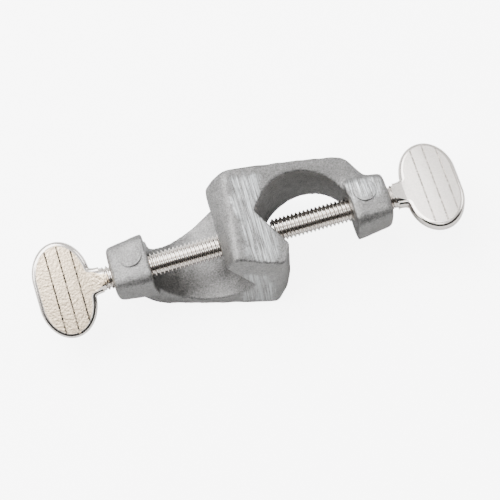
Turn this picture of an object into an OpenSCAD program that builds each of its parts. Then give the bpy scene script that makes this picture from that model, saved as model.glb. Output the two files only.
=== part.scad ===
// Boss head: a one-piece die-cast clamp body with two V jaws set at right angles,
// each closed by a spade thumb screw. Millimetres, +Z up. The origin is the middle
// of the two screws' common axis. The jaw on +X takes an upright rod, the jaw on -X
// opens upwards and takes a level rod, and the casting rests on the back of that jaw.

/* [Body] */
// Distance from the screw axis to each flat outer side of the block
block_half = 13.9; // [12.5:0.1:18]
// Distance from the middle to the ridge where a long face meets the lip's slant
ridge_x = 2.7; // [1.5:0.1:4]
// Half-thickness of the casting where an arm meets a boss
arm_half = 6.5; // [6:0.1:8]
// Draft of the two long faces, in degrees
draft = 7; // [0:0.5:10]
// Drop of the shoulder between the block and an arm
shoulder_drop = 1; // [0.5:0.1:3]
// Radius of the hollow along an arm's upper edge
arm_hollow_r = 90; // [60:5:200]

/* [Jaws] */
// Radius of the round arch inside each jaw
arch_r = 11.7; // [9:0.05:12]
// Distance from the middle to the centre of the arch
arch_x = 13.8; // [13.5:0.1:20]
// Height of the arch's centre above the screw axis
arch_y = -1.6; // [-2.5:0.05:1]
// Thickness of the wall over the arch, at the boss end
wall_t = 2.5; // [2:0.1:6]
// Distance from the middle to the bottom of the V seat
seat_x = 2.1; // [1:0.1:3.5]
// Slope of the V seat's upper flank, in degrees
seat_slope = 51; // [45:1:60]
// Distance from the middle to the tip of the lip
lip_x = 8; // [6.5:0.1:9.5]
// Distance from the screw axis to the tip of the lip
lip_y = 6.8; // [6:0.1:9]
// How far the lip's slant bulges beyond a straight line
lip_bulge = 0.8; // [0:0.1:1.5]
// Radius of the jaw's outer corner above the boss
corner_r = 4; // [2:0.5:6]
// Slope of the jaw's outer end below that corner, in degrees
corner_slope = 57; // [45:1:80]

/* [Bosses] */
// Length of each screw boss
boss_len = 9.5; // [8:0.1:20]
// Half the boss's width at the jaw
boss_root = 6.9; // [6:0.1:8]
// Half the boss's width at its outer end
boss_end = 5.7; // [5:0.1:7]
// Shift of the boss off the screw axis, along the rod and away from the drafted face
boss_shift = 0.4; // [0:0.1:1]
// How far the cone that rounds the boss's corners stands outside its flats
boss_round = 1.5; // [0.5:0.1:2.5]

/* [Screws] */
// Crest radius of the thread
screw_r = 2.95; // [2:0.05:3.5]
// Radial clearance of the screw in its tapped hole
screw_clear = 0.05; // [0.02:0.01:0.1]
// Gap between the right screw's tip and the V seat, fully driven in
right_tip_gap = 0.3; // [0.2:0.05:12]
// Gap between the left screw's tip and the V seat, fully driven in
left_tip_gap = 1.1; // [0.2:0.05:12]
// Length of the thread that shows outside the boss when the right screw is driven in
thread_spare = 1.9; // [1:0.1:10]
// Length of the chamfer at the tip
tip_chamfer = 0.6; // [0.4:0.1:1.5]

/* [Paddles] */
// Length of the neck between thread and paddle
neck_len = 2.2; // [1.5:0.1:6]
// Radius of the neck where it meets the paddle
neck_r = 3.4; // [3:0.1:5]
// Size of the paddle along the screw
paddle_len = 14; // [10:0.5:20]
// Size of the paddle across the screw
paddle_span = 23.8; // [20:0.2:32]
// Thickness of the paddle
paddle_t = 3.3; // [2:0.1:5]
// Spacing of the three grooves on each face
groove_pitch = 3.1; // [2:0.1:4]
// How far the grooves of one face lie from those of the other, halved
groove_shift = 0.8; // [0:0.1:1.5]
// Width of a groove
groove_w = 0.5; // [0.3:0.1:1]
// Depth of a groove
groove_depth = 0.2; // [0.1:0.05:0.5]
// Tilt of the left paddle's upper face about the screw axis, in degrees
left_turn = -161; // [-180:1:180]
// Tilt of the right paddle's upper face about the screw axis, in degrees
right_turn = -7; // [-180:1:180]

/* [Hidden] */
$fn = 96;
// how far surfaces that run smoothly into each other cross, so that they meet cleanly
blend = 0.03;
far = 60;

// the arch ends at the inner face of the boss
boss_x = arch_x + arch_r;
// the V seat's upper flank just cuts into the arch, as a tangent would
tangent = [arch_x - arch_r * sin(seat_slope), arch_y + arch_r * cos(seat_slope)];
seat_y = tangent[1] - (tangent[0] - seat_x) * tan(seat_slope) - blend;
// the wall's outer side slopes from the block to the corner, and the corner to the boss
corner_c = [boss_x - 0.7, arch_y + arch_r + wall_t - corner_r - 0.3];
wall_slope = atan((block_half - corner_c[1] - corner_r) / (corner_c[0] - ridge_x));
wall_top = corner_c + (corner_r - blend) * [sin(wall_slope), cos(wall_slope)];
wall_side = corner_c + (corner_r - blend) * [sin(corner_slope), cos(corner_slope)];
wall_foot = [wall_side[0] + wall_side[1] / tan(corner_slope), 0];
// the arm's concave edge runs from the block's shoulder to the boss
shoulder = [0.4 - lip_x, block_half - shoulder_drop];
arm_end = [-boss_x, arm_half - 1.1];
arm_tip = -wall_foot[0] - 1;
// how far the boss reaches into the wall before the jaw is cut
boss_overlap = 0.5;
shoulder_line = block_half - shoulder_drop * (-arm_tip - ridge_x) / (lip_x - ridge_x);
// the lip's slant is bent outwards at its middle
lip_mid = [(ridge_x + lip_x) / 2, -(block_half + lip_y) / 2]
    + lip_bulge * [block_half - lip_y, ridge_x - lip_x] / norm([block_half - lip_y, lip_x - ridge_x]);
// where the edge of a screw's tip would meet a flank of the seat, the lower or the upper
flank = (lip_x - seat_x) / (lip_y + seat_y);
tip_r = screw_r - tip_chamfer;
seat_stop = seat_x + max(flank * (tip_r + seat_y), (tip_r - seat_y) / tan(seat_slope));
thread_len = boss_x + boss_len + thread_spare - seat_stop - right_tip_gap;

// centre of the circle of radius r through p and q that lies on the left of p to q
function arc_center(p, q, r) =
    let (m = (p + q) / 2, d = q - p, h = sqrt(r * r - d * d / 4))
    m + h * [-d[1], d[0]] / norm(d);

// Side view along the upright rod: the wall on +X, the arm on -X, the block between
module outline() {
    polygon([
        [arm_tip, -arm_half], [-boss_x, -arm_half],
        [ridge_x, -block_half], lip_mid, [lip_x, -lip_y], [lip_x, 0], wall_foot,
        wall_side, corner_c, wall_top, [ridge_x, block_half],
        [-ridge_x, block_half], [arm_tip, shoulder_line]
    ]);
    translate(corner_c) circle(corner_r);
}

// The long hollow that narrows the arm on -X between the block and the boss
module arm_hollow() {
    translate(arc_center(arm_end, shoulder, arm_hollow_r))
        cylinder(2 * far, r = arm_hollow_r, center = true, $fn = 360);
}

// The space a rod goes into, all the way through: arch, mouth and V seat, beside the lip
module jaw_space() {
    linear_extrude(2 * far, center = true) difference() {
        union() {
            translate([arch_x, arch_y]) circle(arch_r);
            polygon([
                tangent + [blend, 0], [boss_x - blend, arch_y], [boss_x - blend, -far],
                [0, -far], [0, seat_y - seat_x * tan(seat_slope)]
            ]);
        }
        polygon([
            [seat_x, seat_y], [lip_x, -lip_y], [lip_x + far * flank, -lip_y - far],
            [-far, -2 * far], [-far, seat_y]
        ]);
    }
}

// Half-turn about the casting's own axis of symmetry, which swaps the two jaws
module other_jaw() {
    rotate(a = 180, v = [0, 1, -1]) children();
}

// The outline carried along the rod, less the draft on the long face at its +Z end
module slab() {
    difference() {
        linear_extrude(2 * far, center = true) outline();
        translate([-ridge_x, block_half, block_half])
            rotate([0, atan((block_half - arm_half) / (boss_x + ridge_x)), 0])
                rotate([draft, 0, 0]) translate([-far, -far, 0]) cube(2 * far);
    }
}

// Square boss on +X that tapers outwards, its corners rounded by a cone
module boss() {
    root = boss_x - boss_overlap;
    tip = boss_x + boss_len;
    taper = [[root, -boss_root], [tip, -boss_end], [tip, boss_end], [root, boss_root]];
    translate([0, 0, -boss_shift]) intersection() {
        linear_extrude(far, center = true) polygon(taper);
        rotate([90, 0, 0]) linear_extrude(far, center = true) polygon(taper);
        translate([root, 0, 0]) rotate([0, 90, 0])
            cylinder(tip - root, boss_root + boss_round, boss_end + boss_round);
    }
}

// Tapped hole through the boss on +X
module tapped_hole() {
    translate([arch_x, 0, 0]) rotate([0, 90, 0])
        cylinder(boss_x - arch_x + boss_len + 1, r = screw_r + screw_clear);
}

module clamp_body() {
    color("darkgray") difference() {
        union() {
            difference() {
                intersection() {
                    slab();
                    other_jaw() slab();
                }
                arm_hollow();
                other_jaw() arm_hollow();
            }
            boss();
            other_jaw() boss();
        }
        jaw_space();
        other_jaw() jaw_space();
        tapped_hole();
        other_jaw() tapped_hole();
    }
}

// Outline of the paddle, its inner edge on the Y axis
module paddle_outline() {
    straight = paddle_span - paddle_len;
    translate([0, -straight / 2]) square([paddle_len, straight]);
    for (side = [-1, 1])
        translate([paddle_len / 2, side * straight / 2]) circle(paddle_len / 2);
}

// Spade thumb screw along +X with its tip at the origin and its paddle level
module thumb_screw() {
    paddle_x = thread_len + neck_len;
    rotate([0, 90, 0]) cylinder(tip_chamfer, tip_r, screw_r);
    translate([tip_chamfer, 0, 0]) rotate([0, 90, 0])
        cylinder(thread_len - tip_chamfer, r = screw_r);
    intersection() {
        translate([thread_len, 0, 0]) rotate([0, 90, 0]) cylinder(neck_len + 1, screw_r, neck_r);
        rotate([90, 0, 0]) linear_extrude(far, center = true) polygon([
            [thread_len, -screw_r], [paddle_x + 1, -paddle_t / 2],
            [paddle_x + 1, paddle_t / 2], [thread_len, screw_r]
        ]);
    }
    difference() {
        translate([paddle_x, 0, -paddle_t / 2]) linear_extrude(paddle_t) paddle_outline();
        for (i = [-1, 0, 1], face = [-1, 1])
            translate([
                paddle_x + (paddle_len - groove_w) / 2 + i * groove_pitch + face * groove_shift,
                -far / 2,
                face * paddle_t / 2 - groove_depth
            ])
                cube([groove_w, far, 2 * groove_depth]);
    }
}

module left_screw() {
    color("lightgray") other_jaw() translate([seat_stop + left_tip_gap, 0, 0])
        rotate([90 - left_turn, 0, 0]) thumb_screw();
}

module right_screw() {
    color("lightgray") translate([seat_stop + right_tip_gap, 0, 0])
        rotate([right_turn, 0, 0]) thumb_screw();
}

clamp_body();
left_screw();
right_screw();
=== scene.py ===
import math

import bpy
from mathutils import Matrix, Vector, noise


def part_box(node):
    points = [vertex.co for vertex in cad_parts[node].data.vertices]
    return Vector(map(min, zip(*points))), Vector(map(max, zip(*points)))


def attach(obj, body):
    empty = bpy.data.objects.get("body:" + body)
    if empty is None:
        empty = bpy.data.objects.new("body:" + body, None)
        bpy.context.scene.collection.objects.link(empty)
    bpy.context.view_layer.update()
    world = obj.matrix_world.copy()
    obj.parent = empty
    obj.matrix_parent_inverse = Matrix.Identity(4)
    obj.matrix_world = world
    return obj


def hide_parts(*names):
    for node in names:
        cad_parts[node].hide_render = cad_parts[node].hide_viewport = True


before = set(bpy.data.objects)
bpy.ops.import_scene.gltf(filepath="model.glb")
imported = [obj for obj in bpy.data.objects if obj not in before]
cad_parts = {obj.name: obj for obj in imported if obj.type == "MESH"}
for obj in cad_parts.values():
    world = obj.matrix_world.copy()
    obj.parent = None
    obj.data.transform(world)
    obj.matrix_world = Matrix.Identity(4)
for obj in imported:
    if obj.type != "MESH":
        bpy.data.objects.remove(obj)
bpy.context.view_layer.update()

bl_info = {
    "name": "Boss head clamp",
    "version": (1, 0, 0),
    "blender": (4, 5, 0),
    "location": "View3D > Sidebar > Boss head",
    "description": "Die-cast boss head with two nickel-plated spade thumb screws",
    "category": "Add Mesh",
}

MM = 0.001
# nearer than this, two points count as one
TOUCH = 0.001 * MM
BODY_LOW, BODY_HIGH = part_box("clamp_body")
RIGHT_LOW, RIGHT_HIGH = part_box("right_screw")
LEFT_LOW, LEFT_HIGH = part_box("left_screw")

# Half-turn that swaps the two jaws: the casting's own axis of symmetry
OTHER_JAW = Matrix(((-1, 0, 0, 0), (0, 0, -1, 0), (0, -1, 0, 0), (0, 0, 0, 1)))
# length of the paddle's root, and the size of the fillets beside it
ROOT_FILLET = 2.2 * MM
# sockets of a Mix node, by number because several share a name
MIX_FACTOR, MIX_NUMBER_A, MIX_NUMBER_B, MIX_COLOUR_A, MIX_COLOUR_B = 0, 2, 3, 6, 7
MIX_COLOUR_OUT = 2


def linear(code):
    """An sRGB hex colour as a linear RGBA tuple."""
    out = []
    for i in (1, 3, 5):
        c = int(code[i:i + 2], 16) / 255
        out.append(c / 12.92 if c <= 0.04045 else ((c + 0.055) / 1.055) ** 2.4)
    return (*out, 1.0)


class CastingSettings(bpy.types.PropertyGroup):
    """Sizes and colours of the die-cast body."""

    voxel: bpy.props.FloatProperty(
        name="Voxel", description="Grid that the casting's soft skin is built on",
        default=0.34 * MM, unit="LENGTH")
    soft_rounds: bpy.props.IntProperty(
        name="Soft rounds", description="Smoothing passes on the tumbled outer corners", default=70)
    crisp_rounds: bpy.props.IntProperty(
        name="Crisp rounds", description="Smoothing passes on every edge of the casting", default=5)
    waviness: bpy.props.FloatProperty(
        name="Waviness", description="Unevenness of the cast skin",
        default=0.09 * MM, unit="LENGTH")
    burr: bpy.props.FloatProperty(
        name="Burr", description="Height of the ragged burr left on the parting edge",
        default=0.25 * MM, unit="LENGTH")
    pin_r: bpy.props.FloatProperty(
        name="Pin mark radius", description="Radius of the ejector pin's mark on each boss",
        default=2.85 * MM, unit="LENGTH")
    pin_step: bpy.props.FloatProperty(
        name="Pin mark step", description="How far the middle of the pin's mark stands above the boss",
        default=0.2 * MM, unit="LENGTH")
    pin_lean: bpy.props.FloatProperty(
        name="Pin mark lean", description="Lean of the pin's mark against the boss",
        default=math.radians(-6), subtype="ANGLE")
    boss_shift: bpy.props.FloatProperty(
        name="Boss shift", description="How much lower the right boss's upper face lies than the left's",
        default=0.4 * MM, unit="LENGTH")
    boss_taper: bpy.props.FloatProperty(
        name="Boss taper", description="Slope of the boss's upper face towards its outer end",
        default=math.atan2(1.2, 10.0), subtype="ANGLE")
    skin: bpy.props.FloatVectorProperty(
        name="Cast skin", description="Colour of the cast aluminium skin",
        default=linear("#797877"), size=4, subtype="COLOR", min=0, max=1)
    ground: bpy.props.FloatVectorProperty(
        name="Ground metal", description="Colour of the bare metal in the grinding marks",
        default=linear("#D4D8DA"), size=4, subtype="COLOR", min=0, max=1)


class ScrewSettings(bpy.types.PropertyGroup):
    """Sizes and colours of the two thumb screws."""

    pitch: bpy.props.FloatProperty(
        name="Pitch", description="Distance from one thread to the next",
        default=1.0 * MM, unit="LENGTH")
    crest_r: bpy.props.FloatProperty(
        name="Crest radius", description="Outer radius of the thread",
        default=2.95 * MM, unit="LENGTH")
    root_r: bpy.props.FloatProperty(
        name="Root radius", description="Inner radius of the thread",
        default=2.4 * MM, unit="LENGTH")
    neck_len: bpy.props.FloatProperty(
        name="Neck length", description="Plain neck between thread and paddle",
        default=2.2 * MM, unit="LENGTH")
    flat_len: bpy.props.FloatProperty(
        name="Flat run-out", description="Length over which the shank is pressed flat",
        default=3.9 * MM, unit="LENGTH")
    paddle_len: bpy.props.FloatProperty(
        name="Paddle length", description="Paddle's size along the screw",
        default=14.0 * MM, unit="LENGTH")
    paddle_span: bpy.props.FloatProperty(
        name="Paddle span", description="Paddle's size across the screw",
        default=23.8 * MM, unit="LENGTH")
    oval: bpy.props.FloatProperty(
        name="Oval", description="Length of the paddle's round ends against a half-circle's",
        default=1.28)
    paddle_t: bpy.props.FloatProperty(
        name="Paddle thickness", description="Paddle's thickness",
        default=3.3 * MM, unit="LENGTH")
    rim_r: bpy.props.FloatProperty(
        name="Rim radius", description="Rounding of the paddle's rim",
        default=1.1 * MM, unit="LENGTH")
    groove_pitch: bpy.props.FloatProperty(
        name="Groove pitch", description="Spacing of the three grooves on a face",
        default=3.1 * MM, unit="LENGTH")
    groove_depth: bpy.props.FloatProperty(
        name="Groove depth", description="Depth of a groove", default=0.16 * MM, unit="LENGTH")
    groove_shift: bpy.props.FloatProperty(
        name="Groove shift", description="Half the offset between one face's grooves and the other's",
        default=0.8 * MM, unit="LENGTH")
    left_turn: bpy.props.FloatProperty(
        name="Left turn", description="Angle of the left paddle about the screws' axis",
        default=math.radians(-161), subtype="ANGLE")
    right_turn: bpy.props.FloatProperty(
        name="Right turn", description="Angle of the right paddle about the screws' axis",
        default=math.radians(-7), subtype="ANGLE")
    nickel: bpy.props.FloatVectorProperty(
        name="Nickel", description="Colour of the bright nickel plate",
        default=linear("#DAD4CE"), size=4, subtype="COLOR", min=0, max=1)
    nickel_warm: bpy.props.FloatVectorProperty(
        name="Warm nickel", description="Colour of the stippled paddle face",
        default=linear("#FCE6C8"), size=4, subtype="COLOR", min=0, max=1)


class StageSettings(bpy.types.PropertyGroup):
    """Camera and floor."""

    distance: bpy.props.FloatProperty(
        name="Distance", description="Camera's distance from the screws' axis",
        default=400 * MM, unit="LENGTH")
    tilt: bpy.props.FloatProperty(
        name="Tilt", description="How far the camera leans from straight above towards the open jaw",
        default=math.radians(19), subtype="ANGLE")
    side: bpy.props.FloatProperty(
        name="Side", description="How far the camera stands to the left",
        default=math.radians(3), subtype="ANGLE")
    roll: bpy.props.FloatProperty(
        name="Roll", description="How far the picture is turned about the line of sight",
        default=math.radians(-16.78), subtype="ANGLE")
    lens: bpy.props.FloatProperty(
        name="Lens", description="Focal length in millimetres", default=118.1)
    shift_x: bpy.props.FloatProperty(
        name="Shift across", description="Sideways shift of the picture, as a share of its width",
        default=-0.0014)
    shift_y: bpy.props.FloatProperty(
        name="Shift up", description="Upward shift of the picture, as a share of its width",
        default=-0.0252)
    glow: bpy.props.FloatProperty(
        name="Glow", description="Strength of the floor's own glow, which only the camera sees",
        default=6.0)
    paper: bpy.props.FloatVectorProperty(
        name="Paper", description="Colour of the floor",
        default=linear("#D6D6D6"), size=4, subtype="COLOR", min=0, max=1)


# ---------------------------------------------------------------- tools

def add_node(tree, kind, inputs=None, **settings):
    """Adds one node; inputs maps socket names or numbers to values or to sockets to link."""
    node = tree.nodes.new(kind)
    for name, value in settings.items():
        setattr(node, name, value)
    for key, value in (inputs or {}).items():
        if isinstance(value, bpy.types.NodeSocket):
            tree.links.new(value, node.inputs[key])
        else:
            node.inputs[key].default_value = value
    return node


def new_material(name):
    """An empty node material with its tree and its Principled shader."""
    material = bpy.data.materials.new(name)
    material.use_nodes = True
    tree = material.node_tree
    return material, tree, tree.nodes["Principled BSDF"]


def only(piece):
    """Makes piece the one selected and active object."""
    if bpy.context.mode != "OBJECT":
        bpy.ops.object.mode_set(mode="OBJECT")
    bpy.ops.object.select_all(action="DESELECT")
    piece.select_set(True)
    bpy.context.view_layer.objects.active = piece


def added(name):
    """Names the primitive just added and moves its place, turn and scale into its mesh."""
    piece = bpy.context.active_object
    piece.name = name
    bpy.ops.object.transform_apply(location=True, rotation=True, scale=True)
    return piece


def edit(piece, mode="FACE"):
    """Opens piece in edit mode with nothing selected."""
    only(piece)
    bpy.ops.object.mode_set(mode="EDIT")
    bpy.ops.mesh.select_mode(type=mode)
    bpy.ops.mesh.select_all(action="DESELECT")


def pick(piece, kind, test):
    """Selects what passes the test: a vertex by its place, an edge by its two ends, a face by its
    middle and normal."""
    # the mode is set first, because in another mode more is selected than was picked
    bpy.ops.mesh.select_mode(type=kind)
    bpy.ops.object.mode_set(mode="OBJECT")
    mesh = piece.data
    for items in (mesh.vertices, mesh.edges, mesh.polygons):
        for item in items:
            item.select = False
    if kind == "VERT":
        for v in mesh.vertices:
            v.select = test(v.co)
    elif kind == "EDGE":
        for e in mesh.edges:
            a, b = (mesh.vertices[i].co for i in e.vertices)
            e.select = test(a, b)
    else:
        for f in mesh.polygons:
            f.select = test(f.center, f.normal)
    bpy.ops.object.mode_set(mode="EDIT")


def apply(piece, kind, **settings):
    """Adds a modifier with its settings and applies it."""
    only(piece)
    modifier = piece.modifiers.new(kind.title(), kind)
    for name, value in settings.items():
        setattr(modifier, name, value)
    bpy.ops.object.modifier_apply(modifier=modifier.name)


def combine(piece, other, operation):
    """Boolean of two pieces; the second is used up."""
    apply(piece, "BOOLEAN", object=other, operation=operation, solver="EXACT")
    bpy.data.objects.remove(other)


def moved(piece, matrix):
    """Turns and shifts a piece's mesh, its object staying at the origin."""
    piece.data.transform(matrix)
    piece.data.update()


def shade(piece, degrees):
    """Smooth shading, apart from edges sharper than the angle."""
    only(piece)
    bpy.ops.object.shade_smooth_by_angle(angle=math.radians(degrees))


# ---------------------------------------------------------------- materials

def belt_reach(tree, place, cloud):
    """Where the grinding belt reached the casting, as a socket: 0 on the cast skin, 1 on ground metal."""
    xyz = add_node(tree, "ShaderNodeSeparateXYZ", {"Vector": place}).outputs
    facing = add_node(tree, "ShaderNodeNewGeometry").outputs["Normal"]
    normal = add_node(tree, "ShaderNodeSeparateXYZ", {"Vector": facing}).outputs
    # how far the border of the ground areas wanders, and half the width of its soft edge in mm
    wander = 7 * MM
    soft_edge = 1.2
    shift = add_node(tree, "ShaderNodeMath", {0: cloud, 1: 0.5}, operation="SUBTRACT").outputs[0]
    wandered = {}
    for axis in "XYZ":
        wandered[axis] = add_node(tree, "ShaderNodeMath", {0: shift, 1: wander, 2: xyz[axis]},
                                  operation="MULTIPLY_ADD").outputs[0]
    # the block's two drafted faces and the right boss, each with the way that it faces, how
    # strongly it was ground, and its bands' middles and half-widths in mm
    areas = (
        ("Z", 1, 1.0, (("X", 1.6, 3.6), ("Y", 0.6, 10.5))),
        ("Y", -1, 0.55, (("X", -1.6, 3.6), ("Z", -4.5, 7.5))),
        ("Z", 1, 1.0, (("X", 29.6, 3.6), ("Y", 2.6, 2.6))),
    )
    ground = None
    for faces, sign, strength, bands in areas:
        area = add_node(tree, "ShaderNodeMapRange", {
            "Value": normal[faces], "From Min": 0.84 * sign, "From Max": 0.95 * sign,
            "To Max": strength}).outputs[0]
        for axis, middle, half in bands:
            off = add_node(tree, "ShaderNodeMath", {
                0: wandered[axis], 1: middle * MM}, operation="SUBTRACT").outputs[0]
            off = add_node(tree, "ShaderNodeMath", {0: off}, operation="ABSOLUTE").outputs[0]
            inside = add_node(tree, "ShaderNodeMapRange", {
                "Value": off, "From Min": (half - soft_edge) * MM, "From Max": (half + soft_edge) * MM,
                "To Min": 1.0, "To Max": 0.0}, interpolation_type="SMOOTHSTEP").outputs[0]
            area = add_node(tree, "ShaderNodeMath", {0: area, 1: inside},
                            operation="MULTIPLY").outputs[0]
        if ground is not None:
            area = add_node(tree, "ShaderNodeMath", {0: ground, 1: area},
                            operation="MAXIMUM").outputs[0]
        ground = area
    return ground


def die_cast_aluminium(settings):
    """Die-cast aluminium, tumbled: a grey satin skin with salt-and-pepper grain, where the flat
    faces were ground on a belt that left straight bright marks."""
    material, tree, shader = new_material("die_cast_aluminium")
    place = add_node(tree, "ShaderNodeTexCoord").outputs["Object"]
    # crystals of the cast skin, about 0.2 mm, drawn at 0.42 mm so that they show
    grain = add_node(tree, "ShaderNodeTexNoise", {
        "Vector": place, "Scale": 1 / (0.42 * MM), "Detail": 3.0, "Roughness": 0.8}).outputs["Fac"]
    # clouds of lighter and darker skin, about 3 mm
    cloud = add_node(tree, "ShaderNodeTexNoise", {
        "Vector": place, "Scale": 1 / (3 * MM), "Detail": 5.0, "Roughness": 0.7}).outputs["Fac"]
    # belt marks: about 0.3 mm apart and 8 mm long, across the screws
    along = add_node(tree, "ShaderNodeMapping", {
        "Vector": place, "Scale": (1.0, 0.036, 0.036)}).outputs[0]
    marks = add_node(tree, "ShaderNodeTexNoise", {
        "Vector": along, "Scale": 1 / (0.3 * MM), "Detail": 3.0, "Roughness": 0.6}).outputs["Fac"]
    streak = add_node(tree, "ShaderNodeMapRange", {
        "Value": marks, "From Min": 0.4, "From Max": 0.66}).outputs[0]
    ground = belt_reach(tree, place, cloud)
    bare = add_node(tree, "ShaderNodeMath", {0: ground, 1: streak}, operation="MULTIPLY").outputs[0]

    # the clouds run from a fifth darker than the skin's colour to a seventh lighter
    skin = settings.skin
    ramp = add_node(tree, "ShaderNodeValToRGB", {"Fac": cloud})
    ramp.color_ramp.elements[0].position = 0.3
    ramp.color_ramp.elements[0].color = (*[c * 0.8 for c in skin[:3]], 1)
    ramp.color_ramp.elements[1].position = 0.7
    ramp.color_ramp.elements[1].color = (*[c * 1.15 for c in skin[:3]], 1)
    # the grain's crystals run from half to one and a half times that
    speck = add_node(tree, "ShaderNodeMapRange", {
        "Value": grain, "From Min": 0.3, "From Max": 0.7, "To Min": 0.5, "To Max": 1.55}).outputs[0]
    mottled = add_node(tree, "ShaderNodeMix", {
        MIX_FACTOR: 1.0, MIX_COLOUR_A: ramp.outputs[0], MIX_COLOUR_B: speck},
        data_type="RGBA", blend_type="MULTIPLY").outputs[MIX_COLOUR_OUT]
    colour = add_node(tree, "ShaderNodeMix", {
        MIX_FACTOR: bare, MIX_COLOUR_A: mottled, MIX_COLOUR_B: settings.ground},
        data_type="RGBA").outputs[MIX_COLOUR_OUT]
    rough = add_node(tree, "ShaderNodeMapRange", {
        "Value": bare, "To Min": 0.4, "To Max": 0.32}).outputs[0]
    height = add_node(tree, "ShaderNodeMix", {
        MIX_FACTOR: ground, MIX_NUMBER_A: grain, MIX_NUMBER_B: marks}, data_type="FLOAT").outputs[0]
    fine = add_node(tree, "ShaderNodeBump", {
        "Strength": 0.8, "Distance": 0.2 * MM, "Height": height}).outputs[0]
    broad = add_node(tree, "ShaderNodeBump", {
        "Strength": 0.5, "Distance": 0.25 * MM, "Height": cloud, "Normal": fine}).outputs[0]
    tree.links.new(colour, shader.inputs["Base Color"])
    tree.links.new(rough, shader.inputs["Roughness"])
    tree.links.new(broad, shader.inputs["Normal"])
    shader.inputs["Metallic"].default_value = 0.92
    return material


def bright_nickel(settings):
    """Bright nickel plate on rolled steel: mirror-like, slightly warm, with faint haze."""
    material, tree, shader = new_material("bright_nickel_plate")
    place = add_node(tree, "ShaderNodeTexCoord").outputs["Object"]
    # haze and handling marks, about 1.5 mm
    haze = add_node(tree, "ShaderNodeTexNoise",
                    {"Vector": place, "Scale": 1 / (1.5 * MM), "Detail": 5.0, "Roughness": 0.6})
    rough = add_node(tree, "ShaderNodeMapRange", {
        "Value": haze.outputs["Fac"], "To Min": 0.12, "To Max": 0.26}).outputs[0]
    tree.links.new(rough, shader.inputs["Roughness"])
    shader.inputs["Base Color"].default_value = settings.nickel
    shader.inputs["Metallic"].default_value = 1.0
    # orange peel of the plate, about 0.4 mm
    peel = add_node(tree, "ShaderNodeTexNoise",
                    {"Vector": place, "Scale": 1 / (0.4 * MM), "Detail": 2.0, "Roughness": 0.5})
    bump = add_node(tree, "ShaderNodeBump",
                    {"Strength": 0.12, "Distance": 0.02 * MM, "Height": peel.outputs["Fac"]})
    tree.links.new(bump.outputs[0], shader.inputs["Normal"])
    return material


def satin_nickel(settings):
    """Nickel plate over a pressed face: pale satin with a soft sheen and fine darker pits."""
    material, tree, shader = new_material("satin_nickel_face")
    place = add_node(tree, "ShaderNodeTexCoord").outputs["Object"]
    # satin grain of the pressing, about 0.3 mm
    grain = add_node(tree, "ShaderNodeTexNoise",
                     {"Vector": place, "Scale": 1 / (0.3 * MM), "Detail": 4.0, "Roughness": 0.65})
    colour = add_node(tree, "ShaderNodeValToRGB", {"Fac": grain.outputs["Fac"]})
    base = settings.nickel
    colour.color_ramp.elements[0].position = 0.34
    colour.color_ramp.elements[0].color = (*[c * 0.72 for c in base[:3]], 1)
    colour.color_ramp.elements[1].position = 0.6
    colour.color_ramp.elements[1].color = base
    tree.links.new(colour.outputs[0], shader.inputs["Base Color"])
    rough = add_node(tree, "ShaderNodeMapRange", {
        "Value": grain.outputs["Fac"], "To Min": 0.38, "To Max": 0.5}).outputs[0]
    tree.links.new(rough, shader.inputs["Roughness"])
    shader.inputs["Metallic"].default_value = 1.0
    bump = add_node(tree, "ShaderNodeBump",
                    {"Strength": 0.15, "Distance": 0.03 * MM, "Height": grain.outputs["Fac"]})
    tree.links.new(bump.outputs[0], shader.inputs["Normal"])
    return material


def stippled_nickel(settings):
    """Nickel plate over a stippled pressed face: warm, with a close leather-like stipple."""
    material, tree, shader = new_material("stippled_nickel_face")
    place = add_node(tree, "ShaderNodeTexCoord").outputs["Object"]
    # stipple of the pressing tool, about 0.4 mm, drawn at 0.5 mm so that it shows
    stipple = add_node(tree, "ShaderNodeTexVoronoi",
                       {"Vector": place, "Scale": 1 / (0.5 * MM), "Randomness": 1.0},
                       feature="SMOOTH_F1")
    # darker flecks, about 0.6 mm
    speck = add_node(tree, "ShaderNodeTexNoise",
                     {"Vector": place, "Scale": 1 / (0.6 * MM), "Detail": 4.0, "Roughness": 0.7})
    colour = add_node(tree, "ShaderNodeValToRGB", {"Fac": speck.outputs["Fac"]})
    base = settings.nickel_warm
    colour.color_ramp.elements[0].position = 0.36
    colour.color_ramp.elements[0].color = (*[c * 0.72 for c in base[:3]], 1)
    colour.color_ramp.elements[1].position = 0.62
    colour.color_ramp.elements[1].color = base
    tree.links.new(colour.outputs[0], shader.inputs["Base Color"])
    rough = add_node(tree, "ShaderNodeMapRange", {
        "Value": speck.outputs["Fac"], "To Min": 0.36, "To Max": 0.5}).outputs[0]
    tree.links.new(rough, shader.inputs["Roughness"])
    shader.inputs["Metallic"].default_value = 1.0
    bump = add_node(tree, "ShaderNodeBump",
                    {"Strength": 0.8, "Distance": 0.15 * MM, "Height": stipple.outputs["Distance"]})
    tree.links.new(bump.outputs[0], shader.inputs["Normal"])
    return material


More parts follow.
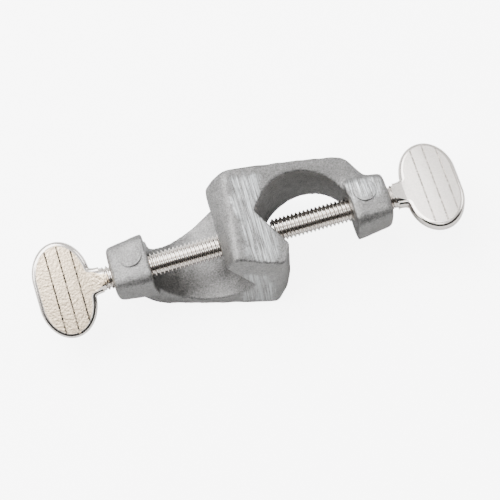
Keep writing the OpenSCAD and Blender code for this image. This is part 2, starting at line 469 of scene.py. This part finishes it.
def darkened_groove_floors(name, floor_dark, floor_light, share):
    """Floor of the pressed grooves, broken into dots of a darker and a lighter colour; with a higher
    share there is more of the darker. On the upper face's grooves its grey is painted shade in the
    recess; on the lower face's it puts near-black dots on the floors."""
    material, tree, shader = new_material(name)
    place = add_node(tree, "ShaderNodeTexCoord").outputs["Object"]
    # dots of the darker colour about 0.45 mm apart
    dots = add_node(tree, "ShaderNodeTexNoise", {
        "Vector": place, "Scale": 1 / (0.45 * MM), "Detail": 3.0, "Roughness": 0.6}).outputs["Fac"]
    colour = add_node(tree, "ShaderNodeValToRGB", {"Fac": dots})
    # the darker dots' border is soft
    colour.color_ramp.elements[0].position = share - 0.04
    colour.color_ramp.elements[0].color = linear(floor_dark)
    colour.color_ramp.elements[1].position = share + 0.06
    colour.color_ramp.elements[1].color = linear(floor_light)
    tree.links.new(colour.outputs[0], shader.inputs["Base Color"])
    rough = add_node(tree, "ShaderNodeMapRange", {
        "Value": dots, "To Min": 0.7, "To Max": 0.4}).outputs[0]
    tree.links.new(rough, shader.inputs["Roughness"])
    shader.inputs["Metallic"].default_value = 0.8
    return material


def matt_paper(settings):
    """Matt white studio paper: the pale floor, its sheen broken by a trace of fibre."""
    material, tree, shader = new_material("matt_white_paper")
    place = add_node(tree, "ShaderNodeTexCoord").outputs["Object"]
    fibre = add_node(tree, "ShaderNodeTexNoise", {"Vector": place, "Scale": 1 / (20 * MM)})
    rough = add_node(tree, "ShaderNodeMapRange", {
        "Value": fibre.outputs["Fac"], "To Min": 0.9, "To Max": 1.0}).outputs[0]
    tree.links.new(rough, shader.inputs["Roughness"])
    shader.inputs["Base Color"].default_value = settings.paper
    # the backdrop is lit apart from the object, so its own glow reaches only the eye
    seen = add_node(tree, "ShaderNodeLightPath").outputs["Is Camera Ray"]
    glow = add_node(tree, "ShaderNodeMath", {0: seen, 1: settings.glow},
                    operation="MULTIPLY").outputs[0]
    tree.links.new(glow, shader.inputs["Emission Strength"])
    shader.inputs["Emission Color"].default_value = (1, 1, 1, 1)
    return material


# ---------------------------------------------------------------- casting

def ramp_up(value, start, width):
    """0 below start, 1 above start + width, straight between."""
    return max(0.0, min(1.0, (value - start) / width))


def softness(co):
    """How far the tumbling rounded this place: 1 on outer corners, ridges and bosses, 0 in the jaws.
    Levels, reaches and widths are in millimetres from the screws' axis and the clamp's middle."""
    x, y, z = co / MM
    # the two flat backs' corners, less where the wall over an arch is thin
    wall_start, wall_end, wall_share = 8, 25, 0.7
    back_level = 10.6
    thin_wall = ramp_up(abs(x), wall_start, 2) * ramp_up(-abs(x), -wall_end, 1)
    outer = ramp_up(max(y, -z), back_level, 1.6) * (1 - wall_share * thin_wall)
    # ridge between a long face and the slant of the block, the other jaw's by the half-turn
    ridge_level, ridge_x, ridge_reach, ridge_end = 10.5, 3.2, 4.5, -11
    ridge = 0.0
    for side, up, across in ((-1, z, y), (1, -y, -z)):
        near = ramp_up(ridge_reach - abs(x - side * ridge_x), 0, 2.5)
        ridge = max(ridge, ramp_up(up, ridge_level, 1.5) * near * ramp_up(across, ridge_end, 3))
    # the edge that the two drafted faces share
    shared_level, shared_share = 9.5, 0.3
    shared = shared_share * ramp_up(z, shared_level, 2) * ramp_up(-y, shared_level, 2)
    # the bosses outside their bores
    boss_start, bore_reach = 24.9, 4.2
    boss = ramp_up(abs(x), boss_start, 1.0) * ramp_up(math.hypot(y, z), bore_reach, 1.2)
    return max(outer, ridge, shared, boss)


def make_casting(settings):
    """The die-cast body: the frame's solid with the soft skin, burr and pin marks of a casting."""
    piece = bpy.data.objects.new("cast_body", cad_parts["clamp_body"].data.copy())
    bpy.context.scene.collection.objects.link(piece)
    piece.data.materials.clear()
    edit(piece, "VERT")
    bpy.ops.mesh.select_all(action="SELECT")
    bpy.ops.mesh.remove_doubles(threshold=2 * TOUCH)
    bpy.ops.object.mode_set(mode="OBJECT")
    apply(piece, "REMESH", mode="VOXEL", voxel_size=settings.voxel)
    group = piece.vertex_groups.new(name="soft")
    for v in piece.data.vertices:
        weight = softness(v.co)
        if weight > 0:
            group.add([v.index], weight, "REPLACE")
    apply(piece, "SMOOTH", factor=0.5, iterations=settings.crisp_rounds)
    apply(piece, "SMOOTH", factor=0.5, iterations=settings.soft_rounds, vertex_group="soft")
    piece.vertex_groups.clear()
    roughen(piece, settings)
    for side in (-1, 1):
        combine(piece, pin_mark(settings, side), "UNION")
    piece.data.materials.append(die_cast_aluminium(settings))
    shade(piece, 50)
    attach(piece, "clamp")
    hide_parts("clamp_body")
    return piece


def roughen(piece, settings):
    """Waves of the cast skin, and a ragged burr along the edge of the two drafted faces. The bores
    stay as they are."""
    # in millimetres: lengths of the long and short waves, and the stretch of edge that has a burr
    long_wave, short_wave = 5, 2.2
    burr_end, burr_y, burr_z = 12, -6, 6
    bore_start, bore_reach = 24, 4
    # a burr rises only on faces that slope this far both ways
    slope = 0.25
    mesh = piece.data
    normals = [v.normal.copy() for v in mesh.vertices]
    for v, normal in zip(mesh.vertices, normals):
        p = v.co / MM
        if math.hypot(p.y, p.z) < bore_reach and abs(p.x) > bore_start:
            continue
        wave = noise.noise(p / long_wave) + 0.5 * noise.noise(p / short_wave)
        lift = wave * settings.waviness
        on_edge = p.y < burr_y and p.z > burr_z and abs(p.x) < burr_end
        if on_edge and normal.y < -slope and normal.z > slope:
            ragged = 0.45 + noise.noise(p * 0.9) + 0.5 * noise.noise(p * 2.1)
            lift += settings.burr * max(0.0, ragged)
        v.co += normal * lift
        # high spots of the two flat backs are rubbed down level
        v.co.y = min(v.co.y, BODY_HIGH.y)
        v.co.z = max(v.co.z, BODY_LOW.z)
    mesh.update()


def pin_mark(settings, side):
    """Mark of the pin that pushed the casting out of its die, on the upper face of a boss. It leans,
    so that its edge on -Y stands proud and its edge on +Y runs into the face."""
    # its middle, mirrored onto the left boss: out along the screw, across and up, in millimetres
    centre = Vector((side * 29.4, 1.7, 6.37)) * MM
    depth = 2 * MM
    rounding = 0.06 * MM
    if side > 0:
        centre.z -= settings.boss_shift
    bpy.ops.object.select_all(action="DESELECT")
    bpy.ops.mesh.primitive_cylinder_add(
        vertices=48, radius=settings.pin_r, depth=depth, location=centre - Vector((0, 0, depth / 2)))
    piece = added("pin_mark")
    edit(piece)
    pick(piece, "FACE", lambda middle, normal: normal.z > 0.9)
    bpy.ops.mesh.bevel(offset=rounding, segments=2, affect="EDGES")
    bpy.ops.object.mode_set(mode="OBJECT")
    slope = Matrix.Rotation(settings.boss_taper * side, 4, "Y")
    lean = Matrix.Rotation(settings.pin_lean, 4, "X")
    lift = Matrix.Translation((0, 0, settings.pin_step))
    moved(piece, Matrix.Translation(centre) @ slope @ lean @ lift @ Matrix.Translation(-centre))
    return piece


# ---------------------------------------------------------------- screws

def make_thread(settings, length):
    """A rolled thread along +X from the origin, cut square and chamfered at both ends."""
    pitch = settings.pitch
    depth = settings.crest_r - settings.root_r
    # turns that are cut off again beyond each end
    spare = 2
    # one pitch's section: root flat, flank, rounded crest and flank, each with its run as a share
    # of the pitch and its rise as a share of the thread's depth
    section = ((0.2, 0), (0.27, 0.85), (0.07, 0.15), (0.12, 0), (0.07, -0.15), (0.27, -0.85))
    bpy.ops.object.select_all(action="DESELECT")
    bpy.ops.mesh.primitive_plane_add(size=1 * MM)
    piece = added("thread")
    edit(piece, "VERT")
    bpy.ops.mesh.select_all(action="SELECT")
    bpy.ops.mesh.merge(type="CENTER")
    bpy.ops.transform.translate(value=(-spare * pitch, settings.root_r, 0))
    for run, rise in section:
        bpy.ops.mesh.extrude_region_move(
            TRANSFORM_OT_translate={"value": (run * pitch, rise * depth, 0)})
    bpy.ops.object.mode_set(mode="OBJECT")
    turns = math.ceil(length / pitch) + 2 * spare
    apply(piece, "SCREW", axis="X", screw_offset=pitch, iterations=turns, steps=40, render_steps=40,
          use_merge_vertices=True, merge_threshold=TOUCH)
    edit(piece, "VERT")
    bpy.ops.mesh.select_all(action="SELECT")
    bpy.ops.mesh.remove_doubles(threshold=2 * TOUCH)
    for where, side in ((0.0, -1), (length, 1)):
        bpy.ops.mesh.select_all(action="SELECT")
        bpy.ops.mesh.bisect(plane_co=(where, 0, 0), plane_no=(side, 0, 0), clear_outer=True,
                            threshold=TOUCH)
    for where in (0.0, length):
        pick(piece, "VERT", lambda co: abs(co.x - where) < 2 * TOUCH)
        bpy.ops.mesh.edge_face_add()
    bpy.ops.mesh.select_all(action="SELECT")
    bpy.ops.mesh.normals_make_consistent(inside=False)
    bpy.ops.object.mode_set(mode="OBJECT")
    # the chamfers rise at 45 degrees from the root at each end
    for v in piece.data.vertices:
        reach = math.hypot(v.co.y, v.co.z)
        limit = min(settings.crest_r, settings.root_r + v.co.x, settings.root_r + length - v.co.x)
        if reach > limit:
            v.co.y *= limit / reach
            v.co.z *= limit / reach
    piece.data.update()
    return piece


def make_neck(settings, start, end):
    """The plain round neck, a little thinner than the thread and drawn out across the paddle."""
    thinning = 0.93
    widening = 1.2
    bpy.ops.object.select_all(action="DESELECT")
    bpy.ops.mesh.primitive_cylinder_add(
        vertices=64, radius=settings.crest_r * thinning, depth=end - start,
        location=((start + end) / 2, 0, 0), rotation=(0, math.pi / 2, 0))
    piece = added("neck")
    edit(piece)
    pick(piece, "VERT", lambda co: co.x > end - 0.1 * MM)
    bpy.ops.transform.resize(value=(1, widening, 1), center_override=(end, 0, 0))
    bpy.ops.object.mode_set(mode="OBJECT")
    return piece


def press_flats(settings, piece, paddle_x):
    """Presses the two flats that run from the paddle's faces out onto the shank."""
    # the wedge that is left of the shank starts a hair outside the crests, and ends a hair under
    # the paddle's faces, so that the two don't lie in one plane
    wide = settings.crest_r * 1.3
    at_shank = settings.crest_r * 1.001
    at_paddle = settings.paddle_t / 2 - 0.03 * MM
    past_end = 2 * MM
    start = paddle_x - settings.flat_len
    bpy.ops.object.select_all(action="DESELECT")
    bpy.ops.mesh.primitive_cube_add(
        size=2, location=(paddle_x / 2, 0, 0), scale=(paddle_x / 2 + past_end, wide, wide))
    wedge = added("wedge")
    edit(wedge)
    for x in (start, paddle_x):
        bpy.ops.mesh.select_all(action="SELECT")
        bpy.ops.mesh.bisect(plane_co=(x, 0, 0), plane_no=(1, 0, 0), threshold=TOUCH)
    for near, height in ((start, at_shank), (paddle_x, at_paddle)):
        from_here = near - 0.1 * MM
        pick(wedge, "VERT", lambda co: co.x > from_here)
        factor = height / max(v.co.z for v in wedge.data.vertices if v.co.x > from_here)
        bpy.ops.transform.resize(value=(1, 1, factor), center_override=(0, 0, 0))
    bpy.ops.object.mode_set(mode="OBJECT")
    combine(piece, wedge, "INTERSECT")


def draw_paddle(settings, paddle_x):
    """The paddle's flat outline, left open in edit mode: an oval with a short filleted root."""
    half = settings.paddle_len / 2
    straight = settings.paddle_span - settings.paddle_len * settings.oval
    bottom = -settings.paddle_t / 2
    # half-width of the root that joins the neck
    root = settings.crest_r * 1.08
    bpy.ops.object.select_all(action="DESELECT")
    bpy.ops.mesh.primitive_circle_add(
        vertices=64, radius=half, fill_type="NGON", location=(paddle_x + half, 0, bottom))
    piece = added("paddle")
    edit(piece)
    bpy.ops.mesh.select_all(action="SELECT")
    bpy.ops.transform.resize(value=(1, settings.oval, 1), center_override=(paddle_x + half, 0, bottom))
    # the two halves are moved apart, which leaves a straight stretch between the round ends
    for side in (-1, 1):
        pick(piece, "VERT", lambda co: co.y * side > half * 0.02)
        bpy.ops.transform.translate(value=(0, side * straight / 2, 0))
    # the inner long side is split at the root's two sides, and the stretch between is drawn out
    for y in (-root, root):
        bpy.ops.mesh.select_all(action="SELECT")
        bpy.ops.mesh.bisect(plane_co=(0, y, 0), plane_no=(0, 1, 0), threshold=TOUCH)
    inner = paddle_x + half * 0.2
    pick(piece, "EDGE", lambda a, b: max(a.x, b.x) < inner and max(abs(a.y), abs(b.y)) < root * 1.01
         and abs(a.y - b.y) > 0.1 * MM)
    bpy.ops.mesh.extrude_region_move(TRANSFORM_OT_translate={"value": (-ROOT_FILLET, 0, 0)})
    bpy.ops.mesh.select_all(action="SELECT")
    bpy.ops.mesh.dissolve_limited(angle_limit=math.radians(1), delimit=set())
    # fillets in the two corners beside the root
    pick(piece, "VERT", lambda co: abs(abs(co.y) - root) < 0.05 * MM
         and abs(co.x - paddle_x) < 0.5 * MM)
    bpy.ops.mesh.bevel(offset=ROOT_FILLET * 0.95, segments=8, affect="VERTICES", clamp_overlap=False)
    return piece


def make_paddle(settings, paddle_x):
    """The pressed spade: its outline made a plate, with a round rim and three grooves a face."""
    piece = draw_paddle(settings, paddle_x)
    bpy.ops.mesh.select_all(action="SELECT")
    bpy.ops.mesh.extrude_region_move(TRANSFORM_OT_translate={"value": (0, 0, settings.paddle_t)})
    bpy.ops.mesh.select_all(action="SELECT")
    bpy.ops.mesh.normals_make_consistent(inside=False)
    # round rim, up to the root's inner end
    root_end = paddle_x - 0.9 * ROOT_FILLET
    pick(piece, "EDGE", lambda a, b: abs(a.z - b.z) < TOUCH and max(a.x, b.x) > root_end)
    bpy.ops.mesh.bevel(offset=settings.rim_r, segments=5, affect="EDGES", clamp_overlap=False)
    centre = paddle_x + settings.paddle_len / 2
    for face in (-1, 1):
        for i in (-1, 0, 1):
            off_centre = i * settings.groove_pitch + face * settings.groove_shift
            cut_groove(piece, settings, centre + off_centre, face)
    bpy.ops.object.mode_set(mode="OBJECT")
    return piece


def cut_groove(piece, settings, middle, face):
    """One pressed groove straight across a face of the paddle, its sides sloping to its floor."""
    half_width = 0.2 * MM
    side_run = 0.08 * MM
    level = settings.paddle_t / 2 - 0.01 * MM
    for x in (middle - half_width, middle + half_width):
        pick(piece, "FACE", lambda centre, normal: normal.z * face > 0.99 and centre.z * face > level)
        bpy.ops.mesh.bisect(plane_co=(x, 0, 0), plane_no=(1, 0, 0), threshold=TOUCH)
    pick(piece, "FACE", lambda centre, normal: normal.z * face > 0.99 and centre.z * face > level
         and abs(centre.x - middle) < half_width)
    bpy.ops.mesh.inset(thickness=side_run, depth=-settings.groove_depth)


def make_screw(settings, name, length):
    """One thumb screw along +X, its tip at the origin and its paddle level."""
    paddle_x = length - settings.paddle_len
    thread_end = paddle_x - settings.neck_len
    # how far the neck reaches into the thread and into the paddle
    into_thread = 0.8 * MM
    into_paddle = 1 * MM
    piece = make_thread(settings, thread_end)
    combine(piece, make_neck(settings, thread_end - into_thread, paddle_x + into_paddle), "UNION")
    press_flats(settings, piece, paddle_x)
    combine(piece, make_paddle(settings, paddle_x), "UNION")
    piece.name = name
    return piece


def finish_screw(settings, piece, finishes_and_groove_shade):
    """Gives each area of a screw its material: bright all over, then the upper and the lower face, and
    the floors of the upper and the lower face's grooves; the upper floors' grey is painted shade in the
    recess."""
    bright, upper, lower, upper_groove, lower_groove = range(5)
    for material in finishes_and_groove_shade:
        piece.data.materials.append(material)
    level = settings.paddle_t / 2
    end = max(v.co.x for v in piece.data.vertices)
    flat_start = end - settings.paddle_len - settings.flat_len
    for f in piece.data.polygons:
        top = f.normal.z > 0
        level_on = abs(f.normal.z)
        sunk = level - abs(f.center.z)
        f.material_index = bright
        if f.center.x > flat_start and level_on > 0.9 and sunk < 0.02 * MM:
            f.material_index = upper if top else lower
        elif level_on > 0.99 and abs(sunk - settings.groove_depth) < 0.01 * MM:
            f.material_index = upper_groove if top else lower_groove
    shade(piece, 35)


def make_screws(settings):
    """Both thumb screws: modelled once, copied, turned and driven in from the two ends."""
    length = RIGHT_HIGH.x - RIGHT_LOW.x
    right = make_screw(settings, "right_thumb_screw", length)
    finishes_and_groove_shade = (bright_nickel(settings), satin_nickel(settings), stippled_nickel(settings),
                # the upper face's grey groove floors are painted shade in the recess; the lower face's
                # floors carry near-black dots
                darkened_groove_floors("groove_floor_painted_shade", floor_dark="#8A8580", floor_light="#CFC9C3", share=0.52),
                darkened_groove_floors("darkened_groove_floors", floor_dark="#262322", floor_light="#B9AD9C", share=0.54))
    finish_screw(settings, right, finishes_and_groove_shade)
    left = bpy.data.objects.new("left_thumb_screw", right.data.copy())
    bpy.context.scene.collection.objects.link(left)
    moved(right, Matrix.Translation((RIGHT_LOW.x, 0, 0)) @ Matrix.Rotation(settings.right_turn, 4, "X"))
    moved(left, OTHER_JAW @ Matrix.Translation((-LEFT_HIGH.x, 0, 0))
          @ Matrix.Rotation(math.pi / 2 - settings.left_turn, 4, "X"))
    for piece, node, body in ((left, "left_screw", "left_thumb_screw"),
                              (right, "right_screw", "right_thumb_screw")):
        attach(piece, body)
        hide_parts(node)


# ---------------------------------------------------------------- stage

def make_stage(settings):
    """Floor, four softboxes, the studio around them and the camera."""
    bpy.ops.object.select_all(action="DESELECT")
    bpy.ops.mesh.primitive_plane_add(size=4.0, location=(0, 0, BODY_LOW.z))
    floor = added("floor")
    floor.data.materials.append(matt_paper(settings))
    # name, place and width in metres, and power in watts
    for name, place, size, power in (
            ("top_softbox", (-0.28, 0.35, 0.75), 1.0, 20.0),
            ("eye_softbox", (-0.05, -0.32, 0.9), 0.35, 1.5),
            ("left_softbox", (-0.75, 0.1, 0.4), 0.4, 3.0),
            ("right_softbox", (0.7, 0.2, 0.45), 0.35, 2.0)):
        light = bpy.data.lights.new(name, "AREA")
        light.shape = "RECTANGLE"
        light.size = size
        light.size_y = size * 0.7
        light.energy = power
        lamp = bpy.data.objects.new(name, light)
        bpy.context.scene.collection.objects.link(lamp)
        lamp.location = place
        lamp.rotation_euler = (-Vector(place)).to_track_quat("-Z", "Y").to_euler()
    make_world()
    make_camera(settings)


def make_world():
    """White overhead and at the back, dim low down at the front, as in a room behind a softbox."""
    world = bpy.data.worlds.new("studio")
    bpy.context.scene.world = world
    world.use_nodes = True
    tree = world.node_tree
    direction = add_node(tree, "ShaderNodeTexCoord").outputs["Generated"]
    xyz = add_node(tree, "ShaderNodeSeparateXYZ", {"Vector": direction}).outputs
    overhead = add_node(tree, "ShaderNodeMapRange", {
        "Value": xyz["Z"], "From Min": 0.7, "From Max": 0.94},
        interpolation_type="SMOOTHSTEP").outputs[0]
    behind = add_node(tree, "ShaderNodeMapRange", {
        "Value": xyz["Y"], "From Min": -0.3, "From Max": 0.15, "To Max": 0.8},
        interpolation_type="SMOOTHSTEP").outputs[0]
    lit = add_node(tree, "ShaderNodeMath", {0: overhead, 1: behind}, operation="MAXIMUM").outputs[0]
    strength = add_node(tree, "ShaderNodeMapRange", {
        "Value": lit, "To Min": 0.03, "To Max": 1.6}).outputs[0]
    background = tree.nodes["Background"]
    background.inputs["Color"].default_value = (1, 1, 1, 1)
    tree.links.new(strength, background.inputs["Strength"])


def make_camera(settings):
    """Camera above the block, leaning towards the right jaw's mouth and turned about its line of
    sight."""
    tilt, side, roll = settings.tilt, settings.side, settings.roll
    back = Vector((-math.sin(side) * math.cos(tilt), -math.sin(tilt), math.cos(side) * math.cos(tilt)))
    across = Vector((math.cos(side), 0, math.sin(side)))
    above = back.cross(across)
    right = across * math.cos(roll) + above * math.sin(roll)
    up = above * math.cos(roll) - across * math.sin(roll)
    turn = Matrix((right, up, back)).transposed().to_4x4()
    data = bpy.data.cameras.new("camera")
    data.lens = settings.lens
    data.sensor_width = 36
    data.clip_start = 10 * MM
    data.shift_x = settings.shift_x
    data.shift_y = settings.shift_y
    camera = bpy.data.objects.new("camera", data)
    bpy.context.scene.collection.objects.link(camera)
    camera.matrix_world = Matrix.Translation(back * settings.distance) @ turn
    bpy.context.scene.camera = camera


# ---------------------------------------------------------------- add-on

class BOSSHEAD_OT_casting(bpy.types.Operator):
    """Build the die-cast body"""

    bl_idname = "bosshead.casting"
    bl_label = "Die-cast body"

    def execute(self, context):
        make_casting(context.scene.bosshead_casting)
        return {"FINISHED"}


class BOSSHEAD_OT_screws(bpy.types.Operator):
    """Build both thumb screws"""

    bl_idname = "bosshead.screws"
    bl_label = "Thumb screws"

    def execute(self, context):
        make_screws(context.scene.bosshead_screws)
        return {"FINISHED"}


class BOSSHEAD_OT_stage(bpy.types.Operator):
    """Build the floor, lights and camera"""

    bl_idname = "bosshead.stage"
    bl_label = "Floor, lights and camera"

    def execute(self, context):
        make_stage(context.scene.bosshead_stage)
        return {"FINISHED"}


class BOSSHEAD_PT_panel(bpy.types.Panel):
    """Sidebar panel of the boss head"""

    bl_label = "Boss head"
    bl_space_type = "VIEW_3D"
    bl_region_type = "UI"
    bl_category = "Boss head"

    def draw(self, context):
        scene = context.scene
        for operator, settings in (("bosshead.casting", scene.bosshead_casting),
                                   ("bosshead.screws", scene.bosshead_screws),
                                   ("bosshead.stage", scene.bosshead_stage)):
            box = self.layout.box()
            box.operator(operator)
            for name in settings.__annotations__:
                box.prop(settings, name)


CLASSES = (CastingSettings, ScrewSettings, StageSettings, BOSSHEAD_OT_casting,
           BOSSHEAD_OT_screws, BOSSHEAD_OT_stage, BOSSHEAD_PT_panel)


def register():
    """Registers the classes and hangs the settings on the scene."""
    for c in CLASSES:
        bpy.utils.register_class(c)
    scene = bpy.types.Scene
    scene.bosshead_casting = bpy.props.PointerProperty(type=CastingSettings)
    scene.bosshead_screws = bpy.props.PointerProperty(type=ScrewSettings)
    scene.bosshead_stage = bpy.props.PointerProperty(type=StageSettings)


def unregister():
    """Takes away what register added."""
    for name in ("bosshead_casting", "bosshead_screws", "bosshead_stage"):
        delattr(bpy.types.Scene, name)
    for c in reversed(CLASSES):
        bpy.utils.unregister_class(c)


def main():
    """Builds everything in order."""
    register()
    bpy.ops.bosshead.stage()
    bpy.ops.bosshead.casting()
    bpy.ops.bosshead.screws()


if __name__ == "__main__":
    main()
